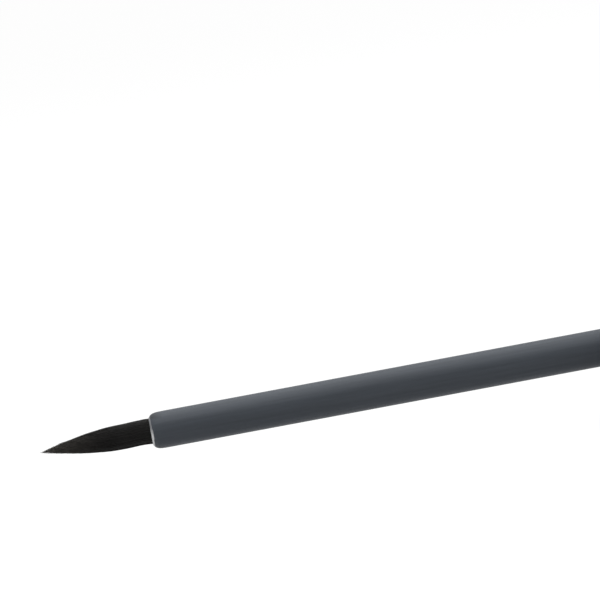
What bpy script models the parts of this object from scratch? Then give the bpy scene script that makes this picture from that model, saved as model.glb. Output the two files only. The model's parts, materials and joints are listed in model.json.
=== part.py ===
"""A liquid eyeliner: a clear bottle with a screw neck, and its applicator drawn out and laid down in line with it.

Nearly every piece is turned about one axis. Each group is built upright on its own empty, and both empties lie
along world X: the bottle to the left with its mouth towards +X, then the brush, the stem and the cap.
A group's local Z runs along its axis towards +X, and its local X points down, to the surface they lie on.
"""

import math

import bmesh
import bpy
from mathutils import Matrix, Vector

MM = 0.001
FULL_TURN = 2 * math.pi

# Clearances
FIT_GAP = 0.05 * MM  # all round a pressed, snapped or glued joint
SEAT_GAP = 0.20 * MM  # between the faces that meet when the cap is screwed down
WIPE_GAP = 0.10 * MM  # radial, round the stem where it passes the wiper and the washer
THREAD_GAP = 0.12 * MM  # radial, between a thread's crest and the other thread's root
THREAD_SIDE_GAP = 0.20 * MM  # along the axis, between the flanks of the two threads
BALL_GAP = 0.10 * MM  # round the mixing ball

# Brush
TUFT_DIAMETER = 2.16 * MM
TUFT_OUT = 9.8 * MM  # from the stem's end to the brush tip
TUFT_STRAIGHT = 3.1 * MM  # length beyond the stem before the tuft narrows
TUFT_TAPER = 1.7  # exponent of the pointed end's outline
TUFT_GATHER = 0.75  # how far the strands lean in with the outline, where 0 leaves them straight
TUFT_DROOP = 0.15 * MM  # how far the tip hangs below the axis
TUFT_ROOT_DEPTH = 0.8 * MM  # from the stem's end down to the fused root
TUFT_ROOT_LENGTH = 2.2 * MM
STRAND_RINGS = 10  # rings of the triangle lattice, which gives 3 * rings squared strands
STRAND_BELLY = 0.8  # a strand's width where the tuft starts to narrow, as a share of its root's
STRAND_MIDDLE = 0.55  # the same, halfway along its pointed part
ANCHOR_LENGTH = 1.6 * MM
ANCHOR_THICKNESS = 0.35 * MM

# Stem
STEM_TIP_DIAMETER = 3.2 * MM
STEM_ROOT_DIAMETER = 3.26 * MM
STEM_OUT = 42.0 * MM  # from the cap's mouth to the stem's end
STEM_NOSE_LENGTH = 0.7 * MM  # the rounded end, along the stem
STEM_NOSE_DROP = 0.33 * MM  # the rounded end, across the stem
STEM_HEAD_DIAMETER = 5.2 * MM
STEM_HEAD_HEIGHT = 1.2 * MM

# Wiper
WIPER_MOUTH_DIAMETER = 6.0 * MM
WIPER_WALL = 0.45 * MM
WIPER_TUBE = 7.5 * MM  # straight part, below the flange
WIPER_CONE = 3.0 * MM
WIPER_LIP = 1.0 * MM
WIPER_FLANGE_HEIGHT = 0.6 * MM
WIPER_FLANGE_INSET = 0.35 * MM  # the flange stops this far inside the neck's edge
WIPER_BEAD = 0.2 * MM  # height of the bead that snaps into the neck
WIPER_BEAD_LENGTH = 0.8 * MM
WIPER_BEAD_DEPTH = 2.5 * MM  # from the flange down to the bead's crest

# Bottle and foot
BASE_FOOT_HEIGHT = 1.6 * MM
BASE_SPIGOT_HEIGHT = 3.0 * MM
LABEL_DIAMETER = 9.0 * MM
LABEL_THICKNESS = 0.2 * MM
BOTTLE_WALL = 2.0 * MM
SHOULDER_WALL = 2.5 * MM
SHOULDER_RING_HEIGHT = 1.95 * MM
NECK_WALL = 0.9 * MM
NECK_PLAIN_FOOT = 2.6 * MM  # from the shoulder ring to the middle of the first ridge
NECK_PLAIN_TOP = 3.4 * MM  # from the middle of the last ridge to the neck's top
BRUSH_CLEARANCE = 5.8 * MM  # between the brush tip and the reservoir's floor, when closed
LEVEL_MARGIN = 0.10 * MM  # the liquid stands this far below the wiper's lip
BALL_DIAMETER = 2.2 * MM

# Screw thread
THREAD_PITCH = 2.0 * MM
THREAD_TURNS = 1.75
THREAD_HEIGHT = 0.55 * MM
THREAD_CREST_WIDTH = 0.5 * MM
THREAD_BURIED = 0.25 * MM  # how far a ridge reaches into its wall
THREAD_FADE = 0.08  # share of a ridge over which each end rises to full height

# Cap
INNER_CAP_WALL = 0.68 * MM
INNER_CAP_FLOOR = 3.5 * MM
INNER_CAP_BOSS_HEIGHT = 6.0 * MM
INNER_CAP_BOSS_WALL = 1.6 * MM
WASHER_THICKNESS = 0.8 * MM
CAP_SHELL_WALL = 0.7 * MM
CAP_LENGTH = 48.0 * MM
CAP_RING_HEIGHT = 2.6 * MM
CAP_RING_LIP = 0.4 * MM
CAP_END_THICKNESS = 2.0 * MM
CAP_END_SPIGOT = 4.0 * MM
CAP_END_SPIGOT_WALL = 1.0 * MM

# Rounded edges
BODY_EDGE = 0.6 * MM  # the foot and the cap's end
RING_EDGE = 0.25 * MM  # the metal rings and the bottle's shoulder
SMALL_EDGE = 0.15 * MM  # every other corner that shows

# Rest pose
REST_GAP = 10.0 * MM  # from the wiper's mouth to the brush tip

# Mesh fineness
BODY_SIDES = 40
SLIM_SIDES = 24
BALL_SUBDIVISIONS = 3
FILLET_STEPS = 2
NOSE_STEPS = 3
WELD = 0.0001 * MM

# Radii, worked out from the brush outwards
tuft_radius = TUFT_DIAMETER / 2
stem_bore_radius = tuft_radius + FIT_GAP
stem_tip_radius = STEM_TIP_DIAMETER / 2
stem_root_radius = STEM_ROOT_DIAMETER / 2
stem_hole_radius = stem_root_radius + FIT_GAP
lip_radius = stem_root_radius + WIPE_GAP
wiper_mouth_radius = WIPER_MOUTH_DIAMETER / 2
wiper_radius = wiper_mouth_radius + WIPER_WALL
neck_bore_radius = wiper_radius + FIT_GAP
neck_radius = neck_bore_radius + NECK_WALL
neck_crest_radius = neck_radius + THREAD_HEIGHT
cap_cavity_radius = neck_crest_radius + THREAD_GAP
inner_cap_radius = cap_cavity_radius + INNER_CAP_WALL
shell_bore_radius = inner_cap_radius + FIT_GAP
body_radius = shell_bore_radius + CAP_SHELL_WALL
reservoir_radius = body_radius - BOTTLE_WALL
ball_radius = BALL_DIAMETER / 2
label_radius = LABEL_DIAMETER / 2
boss_radius = stem_hole_radius + INNER_CAP_BOSS_WALL

# Heights in the bottle, from its base
label_recess = LABEL_THICKNESS + 2 * FIT_GAP
bottle_start = BASE_FOOT_HEIGHT + FIT_GAP
reservoir_floor = BASE_FOOT_HEIGHT + BASE_SPIGOT_HEIGHT
closed_mouth = reservoir_floor + BRUSH_CLEARANCE + TUFT_OUT + STEM_OUT  # where the cap's mouth is when closed
shoulder_ring_top = closed_mouth - SEAT_GAP
shoulder_ring_start = shoulder_ring_top - SHOULDER_RING_HEIGHT
bottle_shoulder = shoulder_ring_start - FIT_GAP
reservoir_top = bottle_shoulder - SHOULDER_WALL
neck_thread_start = shoulder_ring_top + NECK_PLAIN_FOOT
neck_top = neck_thread_start + THREAD_TURNS * THREAD_PITCH + NECK_PLAIN_TOP
wiper_seat = neck_top + FIT_GAP
wiper_top = wiper_seat + WIPER_FLANGE_HEIGHT
wiper_cone_top = wiper_seat - WIPER_TUBE
wiper_lip_top = wiper_cone_top - WIPER_CONE
wiper_bottom = wiper_lip_top - WIPER_LIP
ball_height = reservoir_floor + BALL_GAP + ball_radius
ball_drop = reservoir_radius - BALL_GAP - ball_radius
liquid_drop = lip_radius + LEVEL_MARGIN

# Heights in the applicator, from the stem's end
stem_bore_depth = TUFT_ROOT_DEPTH + TUFT_ROOT_LENGTH + ANCHOR_LENGTH + 2 * FIT_GAP
cap_mouth = STEM_OUT
cap_ring_end = cap_mouth + CAP_RING_HEIGHT
cap_lip_end = cap_mouth + CAP_RING_LIP
washer_start = cap_mouth + wiper_top + SEAT_GAP - closed_mouth
cavity_end = washer_start + WASHER_THICKNESS + FIT_GAP
inner_cap_shoulder = cavity_end + INNER_CAP_FLOOR
inner_cap_end = inner_cap_shoulder + INNER_CAP_BOSS_HEIGHT
stem_head_start = inner_cap_end + FIT_GAP
cap_top = cap_mouth + CAP_LENGTH
cap_end_start = cap_top - CAP_END_THICKNESS
cap_thread_start = cap_mouth + neck_thread_start - closed_mouth - THREAD_PITCH / 2

# Places along world X, with the whole object centred
overall_length = wiper_top + REST_GAP + TUFT_OUT + cap_top
bottle_base_x = -overall_length / 2
stem_end_x = bottle_base_x + wiper_top + REST_GAP + TUFT_OUT
axis_height = body_radius * math.cos(math.pi / BODY_SIDES)


def clear_scene():
    """Removes whatever the startup file put in the scene."""
    for obj in list(bpy.data.objects):
        bpy.data.objects.remove(obj)


def material(name, colour, roughness, metallic=0.0, transmission=0.0):
    """A Principled material of one colour."""
    finish = bpy.data.materials.new(name)
    finish.use_nodes = True
    shader = finish.node_tree.nodes["Principled BSDF"]
    shader.inputs["Base Color"].default_value = (*colour, 1.0)
    shader.inputs["Roughness"].default_value = roughness
    shader.inputs["Metallic"].default_value = metallic
    shader.inputs["Transmission Weight"].default_value = transmission
    finish.diffuse_color = (*colour, 1.0)
    return finish


def lying_axis(name, x):
    """An empty whose local Z lies along world X and whose local X points down."""
    empty = bpy.data.objects.new(name, None)
    bpy.context.scene.collection.objects.link(empty)
    empty.location = (x, 0, axis_height)
    empty.rotation_euler = (0, math.pi / 2, 0)
    return empty


def add_object(name, bm, finish, parent, location=(0, 0, 0)):
    """Makes an object of a bmesh in its group, with its faces pointing out and its round sides smooth."""
    bmesh.ops.remove_doubles(bm, verts=bm.verts, dist=WELD)
    bmesh.ops.recalc_face_normals(bm, faces=bm.faces)
    mesh = bpy.data.meshes.new(name)
    bm.to_mesh(mesh)
    bm.free()
    mesh.shade_smooth()
    mesh.set_sharp_from_angle(angle=math.radians(35))
    if finish:
        mesh.materials.append(finish)
    obj = bpy.data.objects.new(name, mesh)
    bpy.context.scene.collection.objects.link(obj)
    obj.location = location
    obj.parent = parent
    return obj


def add_helper(name, bm, parent, location=(0, 0, 0)):
    """A ridge or a cutter that a Boolean reads, and that is no piece of the object."""
    obj = add_object(name, bm, None, parent, location)
    obj.hide_render = True
    obj.display_type = "WIRE"
    return obj


def boolean(obj, operation, other):
    """Joins, cuts or crops an object with another's shape."""
    modifier = obj.modifiers.new(other.name, "BOOLEAN")
    modifier.operation = operation
    modifier.solver = "EXACT"
    modifier.object = other


def rounded(corners):
    """The points of a profile given as corners of (radius, height, fillet).

    Each fillet is drawn as an arc, and the smallest ones as a plain chamfer.
    """
    points = []
    for i, (radius, height, fillet) in enumerate(corners):
        corner = Vector((radius, height))
        if fillet <= 0:
            points.append(corner)
            continue
        before = Vector(corners[i - 1][:2]) - corner
        after = Vector(corners[(i + 1) % len(corners)][:2]) - corner
        half_angle = before.angle(after) / 2
        reach = min(fillet / math.tan(half_angle), 0.45 * before.length, 0.45 * after.length)
        bend = reach * math.tan(half_angle)
        centre = corner + (before.normalized() + after.normalized()).normalized() * (bend / math.sin(half_angle))
        start = corner + before.normalized() * reach - centre
        end = corner + after.normalized() * reach - centre
        sweep = start.angle(end)
        steps = FILLET_STEPS if fillet > SMALL_EDGE else 1
        for step in range(steps + 1):
            share = step / steps
            from_start = math.sin((1 - share) * sweep) / math.sin(sweep)
            from_end = math.sin(share * sweep) / math.sin(sweep)
            points.append(centre + start * from_start + end * from_end)
    return points


def turned(corners, sides=BODY_SIDES):
    """A solid turned about local Z, with a flat side facing down.

    A profile whose two ends are on the axis is closed by it, and any other is a closed loop.
    """
    bm = bmesh.new()
    first_edge = math.pi / sides
    profile = [
        bm.verts.new((point.x * math.cos(first_edge), point.x * math.sin(first_edge), point.y))
        for point in rounded(corners)
    ]
    on_axis = corners[0][0] == 0 and corners[-1][0] == 0
    following = profile[1:] if on_axis else profile[1:] + profile[:1]
    edges = [bm.edges.new(pair) for pair in zip(profile, following)]
    bmesh.ops.spin(
        bm,
        geom=profile + edges,
        cent=(0, 0, 0),
        axis=(0, 0, 1),
        angle=FULL_TURN,
        steps=sides,
        use_merge=True,
    )
    return bm


def thread_ridge(wall_radius, outward, start):
    """A helical ridge that stands on a round wall, outward (1) on a neck or inward (-1) in a cap.

    Its ends sink into the wall, so that the thread starts and stops gently.
    """
    root_width = THREAD_PITCH - THREAD_CREST_WIDTH - 2 * THREAD_SIDE_GAP
    spread = THREAD_BURIED * (root_width - THREAD_CREST_WIDTH) / THREAD_HEIGHT
    buried_width = root_width + spread
    low_crest = -THREAD_BURIED / 2
    steps = round(THREAD_TURNS * BODY_SIDES)
    bm = bmesh.new()
    sections = []
    for step in range(steps + 1):
        share = step / steps
        rise = min(1, share / THREAD_FADE, (1 - share) / THREAD_FADE)
        crest = low_crest + rise * (THREAD_HEIGHT - low_crest)
        angle = FULL_TURN * THREAD_TURNS * share
        middle = start + THREAD_PITCH * THREAD_TURNS * share
        section = []
        for height, offset in (
            (-THREAD_BURIED, -buried_width / 2),
            (-THREAD_BURIED, buried_width / 2),
            (crest, THREAD_CREST_WIDTH / 2),
            (crest, -THREAD_CREST_WIDTH / 2),
        ):
            radius = wall_radius + outward * height
            place = (radius * math.cos(angle), radius * math.sin(angle), middle + offset)
            section.append(bm.verts.new(place))
        sections.append(section)
    for near, far in zip(sections, sections[1:]):
        for i in range(4):
            bm.faces.new((near[i - 1], near[i], far[i], far[i - 1]))
    bm.faces.new(sections[0])
    bm.faces.new(sections[-1])
    return bm


def block(lowest, highest):
    """A box between two corners."""
    bm = bmesh.new()
    size = Vector(highest) - Vector(lowest)
    place = Matrix.Translation((Vector(lowest) + Vector(highest)) / 2) @ Matrix.Diagonal((*size, 1))
    bmesh.ops.create_cube(bm, size=1, matrix=place)
    return bm


def ball(radius):
    """A ball about its own centre."""
    bm = bmesh.new()
    bmesh.ops.create_icosphere(bm, subdivisions=BALL_SUBDIVISIONS, radius=radius)
    return bm


def base_plug(parent):
    """The foot that closes the bottle from below, with a recess for its label."""
    spigot_radius = reservoir_radius - FIT_GAP
    recess_radius = label_radius + FIT_GAP
    bm = turned([
        (0, label_recess, 0),
        (recess_radius, label_recess, 0),
        (recess_radius, 0, 0),
        (body_radius, 0, BODY_EDGE),
        (body_radius, BASE_FOOT_HEIGHT, SMALL_EDGE),
        (spigot_radius, BASE_FOOT_HEIGHT, 0),
        (spigot_radius, reservoir_floor, SMALL_EDGE),
        (0, reservoir_floor, 0),
    ])
    return add_object("base_plug", bm, material("slate plastic foot", (0.048, 0.054, 0.063), 0.42), parent)


def base_label(parent):
    """A bare round label in the foot's recess."""
    top = FIT_GAP + LABEL_THICKNESS
    bm = turned([(0, FIT_GAP, 0), (label_radius, FIT_GAP, 0), (label_radius, top, 0), (0, top, 0)], SLIM_SIDES)
    return add_object("base_label", bm, material("pale label", (0.62, 0.61, 0.58), 0.6), parent)


def bottle(parent):
    """A thick clear tube, open at the base, with a shoulder and a threaded neck."""
    bead = wiper_seat - WIPER_BEAD_DEPTH
    bm = turned([
        (body_radius, bottle_start, SMALL_EDGE),
        (body_radius, bottle_shoulder, RING_EDGE),
        (neck_radius, bottle_shoulder, 0),
        (neck_radius, neck_top, SMALL_EDGE),
        (neck_bore_radius, neck_top, 0),
        (neck_bore_radius, bead + WIPER_BEAD_LENGTH / 2, 0),
        (neck_bore_radius + WIPER_BEAD, bead, 0),
        (neck_bore_radius, bead - WIPER_BEAD_LENGTH / 2, 0),
        (neck_bore_radius, reservoir_top + reservoir_radius - neck_bore_radius, 0),
        (reservoir_radius, reservoir_top, 0),
        (reservoir_radius, bottle_start, 0),
    ])
    glass = material("clear bottle", (0.86, 0.88, 0.89), 0.06, transmission=1.0)
    obj = add_object("bottle", bm, glass, parent)
    ridge = add_helper("neck_thread", thread_ridge(neck_radius, 1, neck_thread_start), parent)
    boolean(obj, "UNION", ridge)
    return obj


def shoulder_ring(parent):
    """A metal ring round the foot of the neck, where the closed cap lands."""
    bore = neck_radius + FIT_GAP
    bm = turned([
        (body_radius, shoulder_ring_start, RING_EDGE),
        (body_radius, shoulder_ring_top, RING_EDGE),
        (bore, shoulder_ring_top, SMALL_EDGE),
        (bore, shoulder_ring_start, 0),
    ])
    return add_object("shoulder_ring", bm, material("gunmetal collar", (0.11, 0.113, 0.12), 0.3, 1.0), parent)


def wiper(parent):
    """The soft sleeve snapped into the neck, whose lip wipes the stem and the brush."""
    flange_radius = neck_radius - WIPER_FLANGE_INSET
    bead = wiper_seat - WIPER_BEAD_DEPTH
    bm = turned([
        (flange_radius, wiper_seat, 0),
        (flange_radius, wiper_top, SMALL_EDGE),
        (wiper_mouth_radius, wiper_top, RING_EDGE),
        (wiper_mouth_radius, wiper_cone_top, 0),
        (lip_radius, wiper_lip_top, 0),
        (lip_radius, wiper_bottom, 0),
        (lip_radius + WIPER_WALL, wiper_bottom, SMALL_EDGE),
        (lip_radius + WIPER_WALL, wiper_lip_top, 0),
        (wiper_radius, wiper_cone_top, 0),
        (wiper_radius, bead - WIPER_BEAD_LENGTH / 2, 0),
        (wiper_radius + WIPER_BEAD, bead, 0),
        (wiper_radius, bead + WIPER_BEAD_LENGTH / 2, 0),
        (wiper_radius, wiper_seat, 0),
    ])
    return add_object("wiper", bm, material("natural soft plastic", (0.70, 0.69, 0.66), 0.5), parent)


def mixing_ball(parent):
    """The steel ball that stirs the liquid, lying on the reservoir's lowest line beside its floor."""
    place = (ball_drop, 0, ball_height)
    return add_object("mixing_ball", ball(ball_radius), material("steel", (0.62, 0.62, 0.63), 0.2, 1.0), parent, place)


def liquid(parent):
    """The black liquid, level with the surface the bottle lies on, with room for the mixing ball."""
    radius = reservoir_radius - FIT_GAP
    neck = neck_bore_radius - FIT_GAP
    bm = turned([
        (0, reservoir_floor + FIT_GAP, 0),
        (radius, reservoir_floor + FIT_GAP, 0),
        (radius, reservoir_top, 0),
        (neck, reservoir_top + radius - neck, 0),
        (neck, neck_top, 0),
        (0, neck_top, 0),
    ])
    obj = add_object("liquid", bm, material("black ink", (0.004, 0.004, 0.005), 0.15), parent)
    below_level = block(
        (liquid_drop, -body_radius, 0),
        (body_radius, body_radius, wiper_bottom - BALL_GAP),
    )
    boolean(obj, "INTERSECT", add_helper("liquid_level", below_level, parent))
    pocket = add_helper("ball_pocket", ball(ball_radius + BALL_GAP), parent, (ball_drop, 0, ball_height))
    boolean(obj, "DIFFERENCE", pocket)
    return obj


def stem(parent):
    """The slim stem, with a rounded end, a bore for the brush and a head held by the cap's boss."""
    head_end = stem_head_start + STEM_HEAD_HEIGHT
    nose = []
    for step in range(NOSE_STEPS + 1):
        angle = math.pi / 2 * step / NOSE_STEPS
        across = stem_tip_radius - STEM_NOSE_DROP * (1 - math.sin(angle))
        nose.append((across, STEM_NOSE_LENGTH * (1 - math.cos(angle)), 0))
    bm = turned([
        (0, stem_bore_depth, 0),
        (stem_bore_radius, stem_bore_depth, 0),
        (stem_bore_radius, 0, 0),
        *nose,
        (stem_root_radius, stem_head_start, 0),
        (STEM_HEAD_DIAMETER / 2, stem_head_start, 0),
        (STEM_HEAD_DIAMETER / 2, head_end, RING_EDGE),
        (0, head_end, 0),
    ], SLIM_SIDES)
    return add_object("stem", bm, material("slate plastic stem", (0.048, 0.054, 0.063), 0.42), parent)


def outline_share(distance):
    """The tuft's radius at a distance beyond the stem's end, as a share of its full radius."""
    along = (distance - TUFT_STRAIGHT) / (TUFT_OUT - TUFT_STRAIGHT)
    return 1 - max(0, along) ** TUFT_TAPER


def strand_end(share):
    """How far beyond the stem's end a strand runs before it meets the outline.

    Its root lies at a share of the tuft's radius, and it leans in with the outline.
    """
    outline = (1 - TUFT_GATHER) * share / (1 - TUFT_GATHER * share)
    return TUFT_STRAIGHT + (TUFT_OUT - TUFT_STRAIGHT) * (1 - outline) ** (1 / TUFT_TAPER)


def strand_centre(root, distance):
    """The middle of a strand at a distance beyond the stem's end."""
    lean = 1 - TUFT_GATHER * (1 - outline_share(distance))
    droop = TUFT_DROOP * (distance / TUFT_OUT) ** 2
    return Vector((root.x * lean + droop, root.y * lean, -distance))


def grow_strand(bm, face):
    """Draws one face of the root out into a strand that thins to a point."""
    root = face.calc_center_median()
    end = strand_end(root.to_2d().length / tuft_radius)
    middle = (TUFT_STRAIGHT + end) / 2
    centre = root
    width = 1
    for distance, share in ((TUFT_STRAIGHT, STRAND_BELLY), (middle, STRAND_MIDDLE)):
        face = bmesh.ops.extrude_discrete_faces(bm, faces=[face])["faces"][0]
        next_centre = strand_centre(root, distance)
        next_width = share * (1 - TUFT_GATHER * (1 - outline_share(distance)))
        for vert in face.verts:
            vert.co = next_centre + (vert.co - centre) * (next_width / width)
        centre = next_centre
        width = next_width
    face = bmesh.ops.extrude_discrete_faces(bm, faces=[face])["faces"][0]
    bmesh.ops.pointmerge(bm, verts=face.verts, merge_co=strand_centre(root, end))


def tuft(parent):
    """The pointed brush: strands that stand on every other triangle of a round lattice, fused at the root."""
    bm = bmesh.new()
    rings = [[bm.verts.new((0, 0, TUFT_ROOT_DEPTH))]]
    for ring in range(1, STRAND_RINGS + 1):
        radius = tuft_radius * ring / STRAND_RINGS
        angles = [FULL_TURN * i / (6 * ring) for i in range(6 * ring)]
        rings.append([
            bm.verts.new((radius * math.cos(angle), radius * math.sin(angle), TUFT_ROOT_DEPTH)) for angle in angles
        ])
    strand_faces = []
    for ring in range(1, STRAND_RINGS + 1):
        for sector in range(6):
            outer = [rings[ring][(sector * ring + i) % len(rings[ring])] for i in range(ring + 1)]
            inner = [rings[ring - 1][(sector * (ring - 1) + i) % len(rings[ring - 1])] for i in range(ring)]
            pointing_in = [bm.faces.new((outer[i], outer[i + 1], inner[i])) for i in range(ring)]
            pointing_out = [bm.faces.new((inner[i], inner[i - 1], outer[i])) for i in range(1, ring)]
            strand_faces += pointing_out if sector % 2 else pointing_in
    for face in strand_faces:
        grow_strand(bm, face)
    rim = [edge for edge in bm.edges if edge.is_boundary]
    wall = bmesh.ops.extrude_edge_only(bm, edges=rim)["geom"]
    far_verts = [part for part in wall if isinstance(part, bmesh.types.BMVert)]
    far_edges = [part for part in wall if isinstance(part, bmesh.types.BMEdge) and part.is_boundary]
    bmesh.ops.translate(bm, verts=far_verts, vec=(0, 0, TUFT_ROOT_LENGTH))
    bmesh.ops.edgeloop_fill(bm, edges=far_edges)
    return add_object("tuft", bm, material("black bristle", (0.012, 0.011, 0.010), 0.55), parent)


def tuft_anchor(parent):
    """The small metal plate behind the tuft's root, across the stem's bore."""
    start = TUFT_ROOT_DEPTH + TUFT_ROOT_LENGTH + FIT_GAP
    half_width = tuft_radius * math.cos(math.pi / SLIM_SIDES)
    bm = block(
        (-ANCHOR_THICKNESS / 2, -half_width, start),
        (ANCHOR_THICKNESS / 2, half_width, start + ANCHOR_LENGTH),
    )
    return add_object("tuft_anchor", bm, material("anchor metal", (0.55, 0.55, 0.55), 0.35, 1.0), parent)


def inner_cap(parent):
    """The threaded cap inside the shell, with a boss that carries the stem."""
    start = cap_lip_end + FIT_GAP
    bm = turned([
        (inner_cap_radius, start, 0),
        (inner_cap_radius, inner_cap_shoulder, RING_EDGE),
        (boss_radius, inner_cap_shoulder, 0),
        (boss_radius, inner_cap_end, RING_EDGE),
        (stem_hole_radius, inner_cap_end, 0),
        (stem_hole_radius, cavity_end, 0),
        (cap_cavity_radius, cavity_end, 0),
        (cap_cavity_radius, start, 0),
    ])
    obj = add_object("inner_cap", bm, material("black inner plastic", (0.02, 0.02, 0.021), 0.5), parent)
    ridge = add_helper("cap_thread", thread_ridge(cap_cavity_radius, -1, cap_thread_start), parent)
    boolean(obj, "UNION", ridge)
    return obj


def seal_washer(parent):
    """The soft washer on the cavity's floor, which the closed cap presses on the wiper's flange."""
    outer = cap_cavity_radius - FIT_GAP
    bm = turned([
        (outer, washer_start, SMALL_EDGE),
        (outer, washer_start + WASHER_THICKNESS, 0),
        (lip_radius, washer_start + WASHER_THICKNESS, 0),
        (lip_radius, washer_start, SMALL_EDGE),
    ])
    return add_object("seal_washer", bm, material("white foam", (0.75, 0.75, 0.73), 0.7), parent)


def cap_ring(parent):
    """The metal ring at the cap's mouth, with a lip that covers the inner cap's edge."""
    bm = turned([
        (body_radius, cap_mouth, RING_EDGE),
        (body_radius, cap_ring_end, RING_EDGE),
        (shell_bore_radius, cap_ring_end, 0),
        (shell_bore_radius, cap_lip_end, 0),
        (cap_cavity_radius, cap_lip_end, 0),
        (cap_cavity_radius, cap_mouth, SMALL_EDGE),
    ])
    return add_object("cap_ring", bm, material("gunmetal trim", (0.11, 0.113, 0.12), 0.3, 1.0), parent)


def cap_shell(parent):
    """The long outer sleeve of the cap, which the hand holds."""
    start = cap_ring_end + FIT_GAP
    end = cap_end_start - FIT_GAP
    bm = turned([
        (body_radius, start, SMALL_EDGE),
        (body_radius, end, SMALL_EDGE),
        (shell_bore_radius, end, 0),
        (shell_bore_radius, start, 0),
    ])
    return add_object("cap_shell", bm, material("slate plastic cap", (0.048, 0.054, 0.063), 0.42), parent)


def cap_end(parent):
    """The disc that closes the sleeve, with a hollow spigot inside it."""
    spigot_radius = shell_bore_radius - FIT_GAP
    spigot_start = cap_end_start - CAP_END_SPIGOT
    hollow_radius = spigot_radius - CAP_END_SPIGOT_WALL
    bm = turned([
        (0, cap_end_start, 0),
        (hollow_radius, cap_end_start, 0),
        (hollow_radius, spigot_start, 0),
        (spigot_radius, spigot_start, SMALL_EDGE),
        (spigot_radius, cap_end_start, 0),
        (body_radius, cap_end_start, SMALL_EDGE),
        (body_radius, cap_top, BODY_EDGE),
        (0, cap_top, 0),
    ])
    return add_object("cap_end", bm, material("slate plastic end", (0.048, 0.054, 0.063), 0.42), parent)


clear_scene()
bottle_axis = lying_axis("bottle_axis", bottle_base_x)
applicator_axis = lying_axis("applicator_axis", stem_end_x)
for make_piece in (base_plug, base_label, bottle, shoulder_ring, wiper, mixing_ball, liquid):
    make_piece(bottle_axis)
for make_piece in (stem, tuft, tuft_anchor, inner_cap, seal_washer, cap_ring, cap_shell, cap_end):
    make_piece(applicator_axis)
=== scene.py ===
"""The looks of a liquid eyeliner, with its cap, stem and brush drawn out in line with the clear bottle.

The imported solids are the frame. Each of them gets a finely made piece in its place, turned about the same
axis, which runs along world X. Lengths are in metres. The operators make the pieces and the studio.
"""

import json
import math
import random

import bmesh
import bpy
from bpy.props import FloatProperty, FloatVectorProperty, IntProperty, PointerProperty
from bpy.types import Operator, Panel, PropertyGroup
from mathutils import Matrix, Quaternion, Vector


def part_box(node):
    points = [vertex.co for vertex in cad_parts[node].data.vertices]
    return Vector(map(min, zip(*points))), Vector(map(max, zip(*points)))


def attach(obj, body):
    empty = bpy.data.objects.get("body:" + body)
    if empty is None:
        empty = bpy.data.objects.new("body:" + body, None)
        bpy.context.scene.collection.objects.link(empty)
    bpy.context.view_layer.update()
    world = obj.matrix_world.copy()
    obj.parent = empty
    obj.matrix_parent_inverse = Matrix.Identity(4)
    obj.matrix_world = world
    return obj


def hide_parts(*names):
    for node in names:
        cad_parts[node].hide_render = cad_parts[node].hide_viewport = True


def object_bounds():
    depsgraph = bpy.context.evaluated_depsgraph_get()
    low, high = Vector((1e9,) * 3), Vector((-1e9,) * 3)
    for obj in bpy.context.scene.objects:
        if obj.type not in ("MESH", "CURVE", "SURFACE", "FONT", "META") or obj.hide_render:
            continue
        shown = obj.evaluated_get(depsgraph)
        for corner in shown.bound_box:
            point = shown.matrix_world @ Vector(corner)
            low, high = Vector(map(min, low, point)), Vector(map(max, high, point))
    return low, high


bl_info = {
    "name": "Liquid Eyeliner",
    "version": (1, 0, 0),
    "blender": (4, 5, 0),
    "location": "View3D > Sidebar > Eyeliner",
    "description": "Builds a clear liquid eyeliner bottle with its applicator drawn out beside it",
    "category": "Add Mesh",
}

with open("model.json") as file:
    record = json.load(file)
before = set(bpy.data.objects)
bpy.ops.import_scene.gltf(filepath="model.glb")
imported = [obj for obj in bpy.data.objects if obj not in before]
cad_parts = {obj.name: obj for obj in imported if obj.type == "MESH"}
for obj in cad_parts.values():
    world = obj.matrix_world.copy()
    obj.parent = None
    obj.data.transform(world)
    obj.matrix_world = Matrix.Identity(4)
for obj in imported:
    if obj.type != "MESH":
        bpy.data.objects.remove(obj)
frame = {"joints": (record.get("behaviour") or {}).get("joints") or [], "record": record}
cad_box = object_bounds()

MM = 0.001
FULL_TURN = 2 * math.pi
WELD = 0.0001 * MM
SMOOTH_BELOW = math.radians(32)

# Gaps, walls and threads, which fit those of the solids
FIT_GAP = 0.05 * MM
SHELL_WALL = 0.7 * MM
INNER_CAP_WALL = 0.68 * MM
THREAD_GAP = 0.12 * MM
THREAD_SIDE_GAP = 0.2 * MM
THREAD_PITCH = 2.0 * MM
THREAD_TURNS = 1.75
THREAD_HEIGHT = 0.55 * MM
THREAD_CREST_WIDTH = 0.5 * MM
THREAD_BURIED = 0.25 * MM
THREAD_FADE = 0.08
THREAD_END_HEIGHT = 0.4
THREAD_ROUNDING = 0.4
NECK_WALL = 0.9 * MM
BOTTLE_WALL = 2.0 * MM
SHOULDER_WALL = 2.5 * MM
NECK_PLAIN_TOP = 3.4 * MM
WIPER_WALL = 0.45 * MM
WIPER_TUBE = 7.5 * MM
WIPER_CONE = 3.0 * MM
WIPER_FLANGE_INSET = 0.35 * MM
WIPER_BEAD = 0.2 * MM
WIPER_BEAD_LENGTH = 0.8 * MM
WIPER_BEAD_DEPTH = 2.5 * MM
LIP_RADIUS = 1.73 * MM
LABEL_RECESS = 0.3 * MM
BOSS_WALL = 1.6 * MM
BOSS_HEIGHT = 6.0 * MM
RING_LIP = 0.4 * MM
END_THICKNESS = 2.0 * MM
END_SPIGOT_WALL = 1.0 * MM
STEM_HEAD_HEIGHT = 1.2 * MM
STEM_TIP_RADIUS = 1.6 * MM
STEM_ROOT_RADIUS = 1.63 * MM
STEM_HOLE_RADIUS = STEM_ROOT_RADIUS + FIT_GAP
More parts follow.
